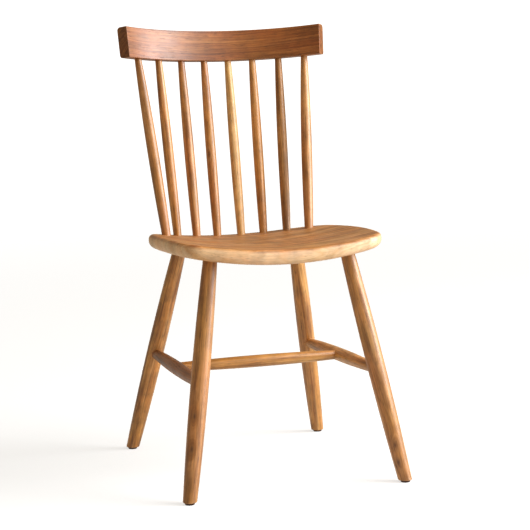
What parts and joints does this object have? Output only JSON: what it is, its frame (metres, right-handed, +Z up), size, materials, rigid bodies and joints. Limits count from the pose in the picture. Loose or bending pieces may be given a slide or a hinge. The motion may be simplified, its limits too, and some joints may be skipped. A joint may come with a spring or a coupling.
{
  "type": "chair",
  "caption": "Wooden side chair with a spindle back under a bent crest rail, a scooped seat, splayed turned legs, an H stretcher and nailed glides.",
  "frame": {"origin": "on the floor, under the middle of the chair's outer box", "axes": "+Z up, the chair faces -Y, and +X is to the right of someone who faces the chair"},
  "size_m": [0.4578, 0.53, 0.8881],
  "materials": {
    "seat_wood": "satin lacquer",
    "crest_wood": "satin lacquer",
    "leg_wood": "satin lacquer",
    "spindle_wood": "satin lacquer",
    "glide_plastic": "moulded",
    "nail_steel": "bright"
  },
  "bodies": {
    "root": {"seat": "seat_wood", "crest_rail": "crest_wood", "front_left_leg": "leg_wood", "front_right_leg": "leg_wood", "rear_left_leg": "leg_wood", "rear_right_leg": "leg_wood", "left_side_stretcher": "leg_wood", "right_side_stretcher": "leg_wood", "centre_stretcher": "leg_wood", "spindle_1": "spindle_wood", "spindle_2": "spindle_wood", "spindle_3": "spindle_wood", "spindle_4": "spindle_wood", "spindle_5": "spindle_wood", "spindle_6": "spindle_wood", "spindle_7": "spindle_wood", "spindle_8": "spindle_wood", "front_left_glide": "glide_plastic", "front_right_glide": "glide_plastic", "rear_left_glide": "glide_plastic", "rear_right_glide": "glide_plastic", "glide_nails": "nail_steel"}
  },
  "joints": []
}
